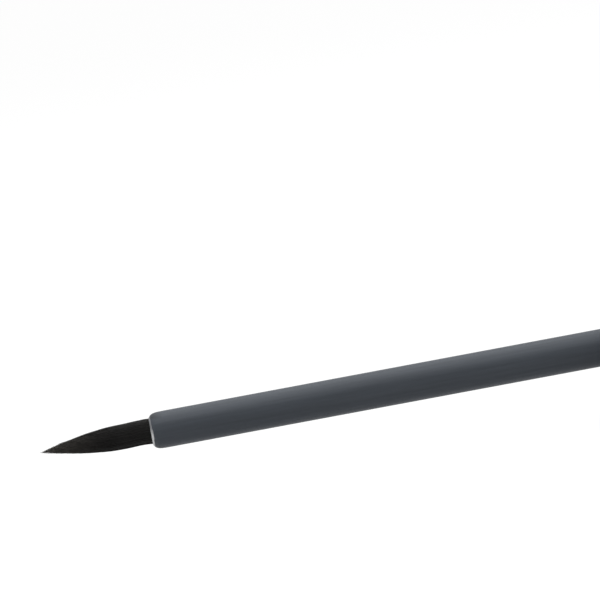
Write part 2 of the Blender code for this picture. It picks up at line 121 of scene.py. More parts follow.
STEM_BORE_DEPTH = 4.7 * MM

# Level of the liquid, and how it climbs at its wall
LEVEL_DROP = 1.83 * MM
WETTING = 0.01 * MM
MENISCUS_STEPS = 6
MENISCUS_WIDTH = 1.8
MENISCUS_DECAY = 3

# Brush, as the solid has it
TUFT_RADIUS = 1.08 * MM
TUFT_FULL_RADIUS = 1.1 * MM
TUFT_OUT = 9.8 * MM
TUFT_STRAIGHT = 3.1 * MM
TUFT_TAPER = 1.57
TUFT_GATHER = 0.75
TUFT_ROOT_DEPTH = 0.8 * MM
TUFT_ROOT_LENGTH = 2.2 * MM
GOLDEN_ANGLE = math.pi * (3 - math.sqrt(5))

# Hairs of the brush, and how they leave the stem
HAIR_SEED = 7
HAIR_SIDES = 4
HAIR_STEPS = 11
HAIR_SUNK = 0.2 * MM
HAIR_WIDTHS = (0.85, 1.1)
HAIR_LENGTHS = (0.98, 1.025)
HAIR_STRAY = 0.5
HAIR_THIN_FROM = 0.45
HAIR_THINNING = 0.62
GATHER_THINNING = 0.8
ROOT_FLARE = 0.02
ROOT_FLARE_FADE = (0.2 * MM, 0.9 * MM)
ROOT_LIFT_FADE = (0.9 * MM, 2.4 * MM)
LIFT_RISE = (-0.6 * MM, 0.5 * MM)

# Loose lock near the tip
LOCK_FROM = 7.85 * MM
LOCK_TO = 8.35 * MM
LOCK_ANGLE = math.radians(34)
LOCK_PARTS_AT = 0.92
LOCK_PROUDNESS = (0.5, 1.0)

# Nose of the stem: painted shade above and below it, and a painted highlight on the rim round the brush
NOSE_SHADE_FADE = (0.45 * MM, 1.2 * MM)
NOSE_SHADE_ABOVE = (1.1 * MM, 1.3 * MM)
NOSE_SHADE_BELOW = (-1.42 * MM, -1.2 * MM)
NOSE_SHADE_LEVEL = 0.5
RIM_FADE = (0.09 * MM, 0.15 * MM)
RIM_WAVE = 0.045 * MM
WAVE_ABOVE = (0.25 * MM, 0.5 * MM)
WAVE_BELOW = (-0.65 * MM, -0.4 * MM)
RIM_TOP = (-0.1 * MM, 0.7 * MM)
RIM_TOP_COVER = 0.35

# Patterns: where most of a noise's values lie, and how much of a worn edge is fully worn
NOISE_SPAN = (0.3, 0.7)
WEAR_CORE = 0.4

# Studio
WHITE = (1, 1, 1, 1)
FLOOR_RADIUS = 6
FLOOR_SIDES = 96
FLOOR_SHADE = (0.08, 0.08, 0.08, 1)
FLOOR_WHITE = 0.96
FRONT_DIMMING = {"From Min": -1, "From Max": 0.3, "To Min": 0.4, "To Max": 1}
NEAREST_SEEN = 0.01

# The photograph, 600 pixels wide and high
PHOTO_SIZE = 600
STEM_END_PX = (151.15, 431.65)
STEM_SLOPE = math.radians(10.5)
STEM_THICKNESS_PX = 37.1
SENSOR_WIDTH = 36.0


def span(node):
    """The lowest and the highest x of a solid."""
    low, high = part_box(node)
    return low.x, high.x


def reach(node):
    """The radius of a turned solid, across its flat sides."""
    low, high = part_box(node)
    return (high.z - low.z) / 2


# Places along the axis, read from the solids
axis_height = (cad_box[0].z + cad_box[1].z) / 2
base_x, reservoir_floor_x = span("base_plug")
bottle_start_x, neck_top_x = span("bottle")
collar_start_x, collar_top_x = span("shoulder_ring")
wiper_bottom_x, wiper_top_x = span("wiper")
stem_end_x, stem_head_end_x = span("stem")
ring_start_x, ring_end_x = span("cap_ring")
inner_cap_start_x, inner_cap_end_x = span("inner_cap")
washer_start_x, washer_end_x = span("seal_washer")
shell_start_x, shell_end_x = span("cap_shell")
end_spigot_x, cap_top_x = span("cap_end")
foot_top_x = bottle_start_x - FIT_GAP
shoulder_x = collar_start_x - FIT_GAP
reservoir_top_x = shoulder_x - SHOULDER_WALL
neck_thread_x = neck_top_x - NECK_PLAIN_TOP - THREAD_TURNS * THREAD_PITCH
wiper_seat_x = neck_top_x + FIT_GAP
bead_x = wiper_seat_x - WIPER_BEAD_DEPTH
cap_end_start_x = cap_top_x - END_THICKNESS
cavity_end_x = washer_end_x + FIT_GAP

# Radii, from the body inwards
body_radius = reach("cap_shell")
shell_bore = body_radius - SHELL_WALL
inner_cap_radius = shell_bore - FIT_GAP
cavity_radius = inner_cap_radius - INNER_CAP_WALL
neck_radius = cavity_radius - THREAD_GAP - THREAD_HEIGHT
neck_bore = neck_radius - NECK_WALL
wiper_radius = neck_bore - FIT_GAP
wiper_mouth = wiper_radius - WIPER_WALL
reservoir_radius = body_radius - BOTTLE_WALL
label_radius = reach("base_label")
boss_radius = STEM_HOLE_RADIUS + BOSS_WALL
stem_head_radius = reach("stem")

slot_colours = {entry["slot"]: entry["base_color"][:3] for entry in frame["record"]["materials"]}


def number(name, description, default, **settings):
    """A number that the user can change."""
    return FloatProperty(name=name, description=description, default=default, **settings)


def size(name, description, default):
    """A length that the user can change."""
    return number(name, description, default, min=0, unit="LENGTH", precision=5)


def count(name, description, default, least, most):
    """A whole number that the user can change."""
    return IntProperty(name=name, description=description, default=default, min=least, max=most)


def colour(name, description, default):
    """A colour that the user can change."""
    return FloatVectorProperty(
        name=name, description=description, default=default, min=0, max=1, size=3, subtype="COLOR"
    )


class EyelinerShape(PropertyGroup):
    """Fineness, rounded edges and the brush."""

    round_sides: count("Round Sides", "Sides of a turned piece", 128, 24, 256)
    edge_steps: count("Edge Steps", "Segments across a rounded edge", 5, 1, 12)
    body_edge: size("Body Edge", "Rounding of the foot and of the cap's end", 0.6 * MM)
    ring_edge: size("Ring Edge", "Rounding of the metal rings and the shoulder", 0.25 * MM)
    small_edge: size("Small Edge", "Rounding of the other outer corners", 0.15 * MM)
    fine_edge: size("Fine Edge", "Rounding of bores and inner corners", 0.06 * MM)
    nose_length: size("Nose Length", "Rounded end of the stem, along it", 1.2 * MM)
    nose_drop: size("Nose Drop", "Rounded end of the stem, across it", 0.37 * MM)
    nose_decay: size("Nose Decay", "Distance along the stem in which its rounding fades", 0.25 * MM)
    meniscus: size("Meniscus", "Climb of the liquid at its wall", 0.15 * MM)
    hair_count: count("Hairs", "Hairs in the brush", 1750, 300, 2000)
    hair_fill: number("Hair Fill", "Thickness of a hair as a share of its spacing", 0.72, min=0.2, max=1)
    hair_wander: size("Hair Wander", "How far a hair's end strays from its place", 0.035 * MM)
    tip_droop: size("Tip Droop", "How far the brush tip hangs below the axis", 0.07 * MM)
    brush_lift: size("Brush Lift", "How far the brush sits above the axis", 0.025 * MM)
    root_lift: size("Root Lift", "How much further it does so where it leaves the stem", 0.05 * MM)
    lock_proud: size("Loose Lock", "How far the lock near the tip stands out of the brush", 0.07 * MM)


class EyelinerColours(PropertyGroup):
    """Colours of the finishes, which start as the record has them."""

    slate: colour("Slate Plastic", "Stem, cap and foot", slot_colours["slate_plastic"])
    # Pale colour of the painted highlight on the stem's rim round the brush.
    rim: colour("Painted Rim Highlight", "Edge of the stem round the brush, painted pale as a highlight", (0.8, 0.8, 0.81))
    gunmetal: colour("Gunmetal", "Metal rings", slot_colours["gunmetal"])
    clear: colour("Clear Plastic", "Bottle", slot_colours["clear_plastic"])
    milky: colour("Natural Plastic", "Wiper", slot_colours["natural_plastic"])
    steel: colour("Steel", "Mixing ball and anchor plate", slot_colours["steel"])
    ink: colour("Ink", "Liquid and its stains", slot_colours["ink"])
    bristle: colour("Bristle", "Brush hairs", slot_colours["bristle"])
    black: colour("Black Plastic", "Inner cap", slot_colours["black_plastic"])
    foam: colour("Foam", "Seal washer", slot_colours["foam"])
    label: colour("Label", "Bare label in the foot", slot_colours["label"])


class EyelinerStudio(PropertyGroup):
    """The camera and the lights."""

    azimuth: number("Azimuth", "Camera's turn round the object", math.radians(-2.5), subtype="ANGLE")
    elevation: number("Elevation", "Camera's angle above the floor", math.radians(7), subtype="ANGLE")
    lens: number("Lens", "Focal length in millimetres", 200, min=20, max=400)
    key_power: number("Key", "Power of the light overhead", 3.15, unit="POWER")
    fill_power: number("Fill", "Power of the light at the left", 0.1, unit="POWER")
    world_level: number("Surroundings", "Level of the light all round", 0.35)
    floor: colour("Floor", "Pale floor", (0.54, 0.54, 0.54))


def with_holding_points(corners, hold):
    """The corners of a profile, with points beside each rounded one that keep the runs straight."""
    points = []
    for i, corner in enumerate(corners):
        edge = corner[2]
        place = Vector(corner[:2])
        for neighbour, first in ((corners[i - 1], True), (corners[(i + 1) % len(corners)], False)):
            if not first:
                points.append(corner)
            run = Vector(neighbour[:2]) - place
            if edge and run.length > 3 * (edge + hold):
                held = place + run.normalized() * (edge + hold)
                points.append((held.x, held.y, 0))
    return points


def round_off(bm, geom, radius, shape, affect):
    """Rounds some corners or edges of a bmesh."""
    bmesh.ops.bevel(
        bm,
        geom=geom,
        offset=radius,
        offset_type="OFFSET",
        segments=shape.edge_steps,
        profile=0.5,
        affect=affect,
        material=-1,
    )


def turned(shape, corners):
    """A solid turned about the axis from a profile of (x, radius, edge) corners.

    A profile whose two ends are on the axis is closed by it, and any other is a closed loop.
    """
    bm = bmesh.new()
    on_axis = corners[0][1] == 0 and corners[-1][1] == 0
    points = with_holding_points(corners, shape.fine_edge)
    profile = [bm.verts.new((x, 0, axis_height - radius)) for x, radius, _ in points]
    following = profile[1:] if on_axis else profile[1:] + profile[:1]
    for pair in zip(profile, following):
        bm.edges.new(pair)
    for edge in sorted({point[2] for point in points if point[2]}):
        sharp = [vert for vert, point in zip(profile, points) if point[2] == edge]
        round_off(bm, sharp, edge, shape, "VERTICES")
    bmesh.ops.spin(
        bm,
        geom=bm.verts[:] + bm.edges[:],
        cent=(0, 0, axis_height),
        axis=(1, 0, 0),
        angle=FULL_TURN,
        steps=shape.round_sides,
        use_merge=True,
    )
    return bm


def mesh_of(bm, name):
    """The mesh of a bmesh, which is freed."""
    mesh = bpy.data.meshes.new(name)
    bm.to_mesh(mesh)
    bm.free()
    return mesh


def welded(bm):
    """The same bmesh with its doubles merged and its faces pointing outwards."""
    bmesh.ops.remove_doubles(bm, verts=bm.verts, dist=WELD)
    bmesh.ops.recalc_face_normals(bm, faces=bm.faces)
    return bm


def add_object(name, data):
    """An object of a mesh, lamp or camera, in the scene."""
    obj = bpy.data.objects.new(name, data)
    bpy.context.scene.collection.objects.link(obj)
    return obj


def add_piece(name, bm, finish, body, slot, *nodes, smooth_below=SMOOTH_BELOW):
    """Makes a piece of a bmesh, which rides on a body and stands for one or more solids."""
    mesh = mesh_of(welded(bm), name)
    add_mesh_piece(name, mesh, finish, body, slot, *nodes, smooth_below=smooth_below)


def add_mesh_piece(name, mesh, finish, body, slot, *nodes, smooth_below=SMOOTH_BELOW):
    """Makes a piece of a finished mesh."""
    mesh.shade_smooth()
    mesh.set_sharp_from_angle(angle=smooth_below)
    mesh.materials.clear()
    mesh.materials.append(finish)
    obj = add_object(name, mesh)
    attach(obj, body)
    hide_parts(*nodes)


def thread_ridge(shape, wall_radius, outward, start_x):
    """A round-edged helical ridge on a wall, outward (1) on the neck or inward (-1) in the cap.

    Its ends sink into the wall, so that the thread starts and stops gently.
    """
    root_width = THREAD_PITCH - THREAD_CREST_WIDTH - 2 * THREAD_SIDE_GAP
    buried_width = root_width + THREAD_BURIED * (root_width - THREAD_CREST_WIDTH) / THREAD_HEIGHT
    bm = bmesh.new()
    section = [
        bm.verts.new((offset, 0, height))
        for height, offset in (
            (-THREAD_BURIED, -buried_width / 2),
            (-THREAD_BURIED, buried_width / 2),
            (THREAD_HEIGHT, THREAD_CREST_WIDTH / 2),
            (THREAD_HEIGHT, -THREAD_CREST_WIDTH / 2),
        )
    ]
    bm.faces.new(section)
    round_off(bm, section[2:], THREAD_CREST_WIDTH * THREAD_ROUNDING, shape, "VERTICES")
    face = bm.faces[:][0]
    places = [(vert.co.x, vert.co.z) for vert in face.verts]
    steps = round(THREAD_TURNS * shape.round_sides)
    for step in range(steps + 1):
        share = step / steps
        rise = min(1, share / THREAD_FADE, (1 - share) / THREAD_FADE)
        fullness = THREAD_END_HEIGHT + (1 - THREAD_END_HEIGHT) * rise
        turn = Matrix.Rotation(FULL_TURN * THREAD_TURNS * share, 4, "X")
        place = Matrix.Translation((0, 0, axis_height)) @ turn
        middle = start_x + THREAD_PITCH * THREAD_TURNS * share
        if step:
            face = bmesh.ops.extrude_discrete_faces(bm, faces=[face])["faces"][0]
        for vert, (offset, height) in zip(face.verts, places):
            raised = (height + THREAD_BURIED) * fullness - THREAD_BURIED
            vert.co = place @ Vector((middle + offset, 0, -(wall_radius + outward * raised)))
    bmesh.ops.holes_fill(bm, edges=[edge for edge in bm.edges if edge.is_boundary])
    bmesh.ops.recalc_face_normals(bm, faces=bm.faces)
    return bm


def joined_with(bm, ridge):
    """The mesh of a turned wall with its thread joined to it."""
    wall, thread = (add_object("wall", mesh_of(part, "wall")) for part in (welded(bm), ridge))
    union = wall.modifiers.new("thread", "BOOLEAN")
    union.operation = "UNION"
    union.solver = "EXACT"
    union.object = thread
    graph = bpy.context.evaluated_depsgraph_get()
    mesh = bpy.data.meshes.new_from_object(wall.evaluated_get(graph))
    for obj in (wall, thread):
        bpy.data.objects.remove(obj)
    return mesh


def add_node(tree, kind, inputs, **settings):
    """A node whose inputs are given as links or as values."""
    node = tree.nodes.new(kind)
    for setting, value in settings.items():
        setattr(node, setting, value)
    for socket, value in inputs.items():
        if isinstance(value, bpy.types.NodeSocket):
            tree.links.new(value, node.inputs[socket])
        else:
            node.inputs[socket].default_value = value
    return node


class Finish:
    """A material in the making: a Principled shader, and patterns that read Object coordinates."""

    def __init__(self, name, tint, roughness, **constants):
        self.material = bpy.data.materials.new(name)
        self.material.use_nodes = True
        self.tree = self.material.node_tree
        self.shader = self.tree.nodes["Principled BSDF"]
        self.tint = (*tint, 1)
        self.shader.inputs["Base Color"].default_value = self.tint
        self.shader.inputs["Roughness"].default_value = roughness
        for key, value in constants.items():
            socket = key.replace("_", " ").title().replace("Ior", "IOR")
            self.shader.inputs[socket].default_value = value
        self.place = self.tree.nodes.new("ShaderNodeTexCoord").outputs["Object"]

    def add(self, kind, inputs, **settings):
        """A node of this material."""
        return add_node(self.tree, kind, inputs, **settings)

    def maths(self, operation, *values):
        """One or two patterns or numbers, put through an operation."""
        return self.add("ShaderNodeMath", dict(enumerate(values)), operation=operation).outputs[0]

    def scaled(self, per_metre):
        """Where a point lies, with so many units to the metre along X, Y and Z."""
        mapping = self.add("ShaderNodeMapping", {"Vector": self.place, "Scale": per_metre})
        return mapping.outputs["Vector"]

    def noise(self, per_metre, detail=2.0, distortion=0.0):
        """Noise with so many features to the metre along X, Y and Z."""
        place = self.scaled(per_metre)
        inputs = {"Vector": place, "Scale": 1.0, "Detail": detail, "Distortion": distortion}
        return self.add("ShaderNodeTexNoise", inputs).outputs["Fac"]

    def along(self):
        """How far along world X a point lies."""
        return self.add("ShaderNodeSeparateXYZ", {"Vector": self.place}).outputs["X"]

    def height(self):
        """How far above the floor a point lies."""
        return self.add("ShaderNodeSeparateXYZ", {"Vector": self.place}).outputs["Z"]

    def from_axis(self):
        """How far from the common axis a point lies."""
        inputs = {"Vector": self.place, "Scale": (0, 1, 1), "Location": (0, 0, -axis_height)}
        across = self.add("ShaderNodeMapping", inputs).outputs["Vector"]
        return self.add("ShaderNodeVectorMath", {0: across}, operation="LENGTH").outputs["Value"]

    def worn_edges(self, places, width):
        """Patchy wear on the outer edges that turned pieces have at some places along the axis."""
        core = WEAR_CORE * width
        nearest = None
        for place in places:
            away = self.maths("ABSOLUTE", self.maths("SUBTRACT", self.along(), place))
            nearest = self.maths("MINIMUM", nearest, away) if nearest else away
        near = self.ranged(nearest, 1.0, 0.0, core, width)
        outside = self.ranged(self.from_axis(), 0.0, 1.0, body_radius - width, body_radius - core)
        patches = self.ranged(self.noise((1400, 1400, 1400), detail=5), 0.0, 1.0, 0.4, 0.62)
        return self.product(self.product(near, outside), patches)

    def ranged(self, source, low, high, start=0.0, end=1.0):
        """A pattern's values from start to end, mapped onto low to high."""
        inputs = {"Value": source, "From Min": start, "From Max": end, "To Min": low, "To Max": high}
        return self.add("ShaderNodeMapRange", inputs).outputs["Result"]

    def swing(self, noise, low, high):
        """Noise, most of whose values lie in the middle, mapped onto low to high."""
        return self.ranged(noise, low, high, *NOISE_SPAN)

    def by_height(self, low, high, heights):
        """Runs from low to high between two heights, which are counted from the axis."""
        return self.ranged(self.height(), low, high, axis_height + heights[0], axis_height + heights[1])

    def near_stem_end(self, along, fade):
        """1 at the stem's end, and 0 from further along the stem."""
        return self.ranged(along, 1.0, 0.0, stem_end_x + fade[0], stem_end_x + fade[1])

    def product(self, first, second):
        """Two patterns multiplied."""
        return self.maths("MULTIPLY", first, second)

    def tone(self, brightness, saturation=1.0):
        """The base colour, brightened or darkened by a pattern."""
        inputs = {"Color": self.tint, "Value": brightness, "Saturation": saturation}
        toned = self.add("ShaderNodeHueSaturation", inputs)
        self.tree.links.new(toned.outputs["Color"], self.shader.inputs["Base Color"])
        return toned.outputs["Color"]

    def vary(self, socket, source):
        """Links a pattern to one of the shader's sockets."""
        self.tree.links.new(source, self.shader.inputs[socket])

    def blend(self, cover, under, over):
        """One colour under another, by how much a pattern covers it."""
        mixed = self.add("ShaderNodeMix", {0: cover, 6: under, 7: over}, data_type="RGBA")
        self.tree.links.new(mixed.outputs[2], self.shader.inputs["Base Color"])

    def relief(self, *layers):
        """Bump from layers of (pattern, depth), the coarsest first."""
        normal = None
        for source, depth in layers:
            inputs = {"Height": source, "Distance": depth}
            if normal:
                inputs["Normal"] = normal
            normal = self.add("ShaderNodeBump", inputs).outputs["Normal"]
        self.tree.links.new(normal, self.shader.inputs["Normal"])


def painted_nose_shade(finish):
    """How much painted shade darkens the top and the bottom of the stem's nose."""
    near_rim = finish.near_stem_end(finish.along(), NOSE_SHADE_FADE)
    above = finish.by_height(0.0, 1.0, NOSE_SHADE_ABOVE)
    below = finish.by_height(1.0, 0.0, NOSE_SHADE_BELOW)
    nose_shade = finish.product(near_rim, finish.maths("ADD", above, below))
    return finish.ranged(nose_shade, 1.0, NOSE_SHADE_LEVEL)


def painted_rim_highlight(finish):
    """How pale the stem's rim round the brush is painted: a painted highlight, in patches and a line that
    waves a little.
    """
    from_above = finish.by_height(1.0, 0.0, WAVE_ABOVE)
    from_below = finish.by_height(0.0, 1.0, WAVE_BELOW)
    wave = finish.product(finish.product(from_above, from_below), RIM_WAVE)
    rim = finish.near_stem_end(finish.maths("SUBTRACT", finish.along(), wave), RIM_FADE)
    patches = finish.ranged(finish.noise((900, 900, 900), detail=3), 0.45, 1.0, 0.3, 0.6)
    upwards = finish.by_height(1.0, RIM_TOP_COVER, RIM_TOP)
    return finish.product(finish.product(rim, patches), upwards)


def slate_plastic(colours, painted_nose_shade_and_rim_highlight=False):
    """Satin slate plastic: fine moulded grain, faint streaks along the piece and wear on its edges.

    The stem also has a painted highlight on its rim and painted shade on the top and bottom of its nose.
    """
    finish = Finish("slate plastic", colours.slate, 0.48, specular_ior_level=0.15)
    streaks = finish.noise((120, 3500, 3500), detail=3)
    grain = finish.noise((9000, 9000, 9000), detail=2)
    wear = finish.worn_edges((base_x, foot_top_x, shell_end_x, cap_top_x), 0.45 * MM)
    brightness = finish.product(finish.swing(streaks, 1.21, 1.43), finish.ranged(wear, 1.0, 1.45))
    # Painted shade darkens the top and the bottom of the stem's nose.
    if painted_nose_shade_and_rim_highlight:
        brightness = finish.product(brightness, painted_nose_shade(finish))
    toned = finish.tone(brightness, saturation=1.05)
    # Painted highlight: the rim round the brush is blended towards a pale colour.
    if painted_nose_shade_and_rim_highlight:
        finish.blend(painted_rim_highlight(finish), toned, (*colours.rim, 1))
    finish.vary("Roughness", finish.swing(grain, 0.43, 0.53))
    finish.relief((streaks, 0.004 * MM), (grain, 0.004 * MM))
    return finish.material


def gunmetal(colours):
    """Dark anodised metal, brushed round its rim."""
    finish = Finish("gunmetal", colours.gunmetal, 0.3, metallic=1.0)
    brushing = finish.noise((16000, 250, 250), detail=3)
    patches = finish.noise((400, 400, 400), detail=2)
    wear = finish.worn_edges((collar_start_x, collar_top_x, ring_start_x, ring_end_x), 0.22 * MM)
    finish.tone(finish.product(finish.swing(brushing, 0.85, 1.15), finish.ranged(wear, 1.0, 1.9)))
    finish.vary("Roughness", finish.swing(patches, 0.24, 0.36))
    finish.relief((brushing, 0.003 * MM))
    return finish.material


def clear_plastic(colours):
    """Clear polished thick plastic, with a slight waviness from the mould."""
    finish = Finish("clear plastic", colours.clear, 0.03, transmission_weight=1.0, ior=1.5)
    waves = finish.noise((180, 350, 350), detail=1)
    haze = finish.noise((900, 2500, 2500), detail=3)
    finish.vary("Roughness", finish.ranged(haze, 0.015, 0.07, 0.35, 0.75))
    finish.relief((waves, 0.02 * MM))
    return finish.material


def natural_plastic(colours):
    """Soft milky plastic, stained by ink towards the lip that wipes the brush."""
    finish = Finish(
        "natural plastic", colours.milky, 0.45, subsurface_weight=0.3, subsurface_scale=0.5 * MM
    )
    blots = finish.noise((900, 900, 900), detail=4, distortion=0.4)
    stained_to_x = wiper_bottom_x + 1.2 * MM
    clean_from_x = wiper_bottom_x + 4.0 * MM
    near_lip = finish.ranged(finish.along(), 1.0, 0.0, stained_to_x, clean_from_x)
    stain = finish.ranged(finish.product(near_lip, blots), 0.0, 1.0, 0.28, 0.42)
    finish.blend(stain, (*colours.milky, 1), (*colours.ink, 1))
    finish.vary("Roughness", finish.ranged(stain, 0.45, 0.2))
    finish.relief((finish.noise((5000, 5000, 5000)), 0.004 * MM))
    return finish.material


def polished_steel(colours):
    """Bright steel with the finest of scratches."""
    finish = Finish("polished steel", colours.steel, 0.14, metallic=1.0)
    scratches = finish.noise((1500, 9000, 3000), detail=4, distortion=0.6)
    finish.vary("Roughness", finish.ranged(scratches, 0.1, 0.22, 0.4, 0.7))
    finish.relief((scratches, 0.0008 * MM))
    return finish.material


def black_ink(colours):
    """Glossy black liquid, with pigment that has settled a little unevenly."""
    finish = Finish("black ink", colours.ink, 0.1, specular_ior_level=0.15)
    drift = finish.noise((150, 500, 500), detail=3, distortion=1.0)
    finish.tone(finish.swing(drift, 0.7, 1.6))
    finish.vary("Roughness", finish.swing(drift, 0.08, 0.14))
    return finish.material


def black_bristle(colours):
    """Black nylon hair with a soft sheen, each hair a little different, paler towards the tip."""
    finish = Finish("black bristle", colours.bristle, 0.5, specular_ior_level=0.13, sheen_weight=0.06)
    strands = finish.noise((60, 11000, 11000), detail=2)
    palest_x = stem_end_x - 0.92 * TUFT_OUT
    darkest_x = stem_end_x - 0.3 * TUFT_OUT
    to_tip = finish.ranged(finish.along(), 1.0, 0.0, palest_x, darkest_x)
    paler = finish.ranged(finish.product(to_tip, to_tip), 0.45, 9.6)
    finish.tone(finish.product(paler, finish.swing(strands, 0.8, 1.25)))
    finish.vary("Roughness", finish.swing(strands, 0.42, 0.62))
    return finish.material


def black_plastic(colours):
    """Plain black moulded plastic with a dull grain."""
    finish = Finish("black plastic", colours.black, 0.5)
    grain = finish.noise((6000, 6000, 6000), detail=3)
    finish.tone(finish.swing(grain, 0.85, 1.2))
    finish.vary("Roughness", finish.swing(grain, 0.44, 0.58))
    finish.relief((grain, 0.005 * MM))
    return finish.material


def white_foam(colours):
    """Closed-cell foam, with pores open on its face and painted shade in them."""
    finish = Finish("white foam", colours.foam, 0.85)
    place = finish.scaled((7000, 7000, 7000))
    cells = finish.add("ShaderNodeTexVoronoi", {"Vector": place, "Scale": 1.0})
    pores = finish.ranged(cells.outputs["Distance"], 0.0, 1.0, 0.1, 0.6)
    # Darker in the pores: painted shade in their hollows.
    finish.tone(finish.ranged(pores, 0.72, 1.05))
    finish.relief((pores, 0.03 * MM))
    return finish.material


def bare_paper(colours):
    """Matt label paper with a faint fibre."""
    finish = Finish("bare paper", colours.label, 0.62)
    fibre = finish.noise((2500, 2500, 2500), detail=6, distortion=1.5)
    finish.tone(finish.swing(fibre, 1.02, 1.16), saturation=1.3)
    finish.relief((fibre, 0.006 * MM))
    return finish.material


def outline_share(distance):
    """The tuft's radius at a distance beyond the stem's end, as a share of its full radius."""
    along = (distance - TUFT_STRAIGHT) / (TUFT_OUT - TUFT_STRAIGHT)
    return 1 - max(0, min(1, along)) ** TUFT_TAPER


def gathered(distance):
    """How near the axis the hairs have drawn at a distance, as a share of where they stand."""
    return 1 - TUFT_GATHER * (1 - outline_share(distance))


def hair_end(share):
    """How far beyond the stem's end a hair runs, whose root lies at a share of the tuft's radius."""
    outline = (1 - TUFT_GATHER) * share / (1 - TUFT_GATHER * share)
    return TUFT_STRAIGHT + (TUFT_OUT - TUFT_STRAIGHT) * (1 - outline) ** (1 / TUFT_TAPER)


def eased(value, start, end):
    """Rises smoothly from 0 at start to 1 at end."""
    share = max(0, min(1, (value - start) / (end - start)))
    return share * share * (3 - 2 * share)


class BrushHair:
    """One hair: where its root stands, how far it runs, and how it strays from its neighbours."""

    def __init__(self, shape, index, draw):
        self.shape = shape
        spacing = TUFT_RADIUS * math.sqrt(math.pi / shape.hair_count)
        self.radius = spacing * shape.hair_fill * draw.uniform(*HAIR_WIDTHS)
        full = TUFT_FULL_RADIUS * math.sqrt((index + 0.5) / shape.hair_count)
        spread = full - self.radius * index / shape.hair_count
        around = index * GOLDEN_ANGLE
        self.root = Vector((0, math.sin(around), math.cos(around))) * spread
        self.length = hair_end(spread / TUFT_RADIUS) * draw.uniform(*HAIR_LENGTHS)
        stray = Vector((0, draw.gauss(0, HAIR_STRAY), draw.gauss(0, HAIR_STRAY)))
        self.stray = stray * shape.hair_wander
        self.turn = draw.uniform(0, FULL_TURN)
        on_top = self.root.angle(Vector((0, 0, 1))) < LOCK_ANGLE
        in_lock = on_top and LOCK_FROM < self.length < LOCK_TO
        self.proud = shape.lock_proud * draw.uniform(*LOCK_PROUDNESS) if in_lock else 0

    def centre(self, distance):
        """The middle of the hair at a distance beyond the stem's end."""
        shape = self.shape
        lean = gathered(distance) * (1 + ROOT_FLARE * (1 - eased(distance, *ROOT_FLARE_FADE)))
        free = (max(0, distance) / TUFT_OUT) ** 2
        lift = shape.brush_lift + shape.root_lift * (1 - eased(distance, *ROOT_LIFT_FADE))
        lift *= eased(distance, *LIFT_RISE)
        lift += self.proud * eased(distance, LOCK_PARTS_AT * self.length, self.length)
        lift -= shape.tip_droop * free
        middle = Vector((stem_end_x - distance, 0, axis_height + lift))
        return self.root * lean + self.stray * free + middle

    def width(self, distance):
        """The hair's thickness at a distance, as a share of its root's."""
        thinning = 1 - HAIR_THINNING * eased(distance, HAIR_THIN_FROM * self.length, self.length)
        return gathered(distance) ** GATHER_THINNING * thinning


def grow_hairs(bm, shape):
    """Grows every hair of the brush, all of them one step at a time."""
    draw = random.Random(HAIR_SEED)
    hairs = [BrushHair(shape, index, draw) for index in range(shape.hair_count)]
    owner = bm.faces.layers.int.new("hair")
    start = -TUFT_ROOT_DEPTH - HAIR_SUNK
    faces = []
    for index, hair in enumerate(hairs):
        place = Matrix.Translation(hair.centre(start)) @ Matrix.Rotation(math.pi / 2, 4, "Y")
        turned_place = place @ Matrix.Rotation(hair.turn, 4, "Z")
        made = bmesh.ops.create_circle(
            bm, cap_ends=True, segments=HAIR_SIDES, radius=hair.radius, matrix=turned_place
        )
        face = made["verts"][0].link_faces[0]
        face[owner] = index
        faces.append(face)
    for step in range(HAIR_STEPS):
        share = step / (HAIR_STEPS - 1)
        before = (step - 1) / (HAIR_STEPS - 1)
        faces = bmesh.ops.extrude_discrete_faces(bm, faces=faces)["faces"]
        for face in faces:
            hair = hairs[face[owner]]
            last = hair.length * before if step else start
            distance = hair.length * share
            old_centre = hair.centre(last)
            new_centre = hair.centre(distance)
            widening = hair.width(distance) / hair.width(last)
            for vert in face.verts:
                vert.co = new_centre + (vert.co - old_centre) * widening
    bmesh.ops.collapse(bm, edges=[edge for face in faces for edge in face.edges])
    bmesh.ops.holes_fill(bm, edges=[edge for edge in bm.edges if edge.is_boundary])


class Undoable:
    """What every operator here shares."""

    bl_options = {"REGISTER", "UNDO"}


class EYELINER_OT_foot(Undoable, Operator):
    """Makes the foot that closes the bottle from below, and the bare label in its recess"""

    bl_idname = "eyeliner.foot"
    bl_label = "Foot and Label"

    def execute(self, context):
        shape = context.scene.eyeliner_shape
        colours = context.scene.eyeliner_colours
        spigot = reservoir_radius - FIT_GAP
        recess = label_radius + FIT_GAP
        recess_x = base_x + LABEL_RECESS
        plug = turned(shape, [
            (recess_x, 0, 0),
            (recess_x, recess, 0),
            (base_x, recess, shape.fine_edge),
            (base_x, body_radius, shape.body_edge),
            (foot_top_x, body_radius, shape.small_edge),
            (foot_top_x, spigot, 0),
            (reservoir_floor_x, spigot, shape.small_edge),
            (reservoir_floor_x, 0, 0),
        ])
        add_piece("foot", plug, slate_plastic(colours), "bottle", "slate_plastic", "base_plug")
        label_start, label_end = span("base_label")
        paper_edge = shape.fine_edge / 2
        disc = turned(shape, [
            (label_start, 0, 0),
            (label_start, label_radius, paper_edge),
            (label_end, label_radius, 0),
            (label_end, 0, 0),
        ])
        add_piece("label", disc, bare_paper(colours), "bottle", "label", "base_label")
        return {"FINISHED"}


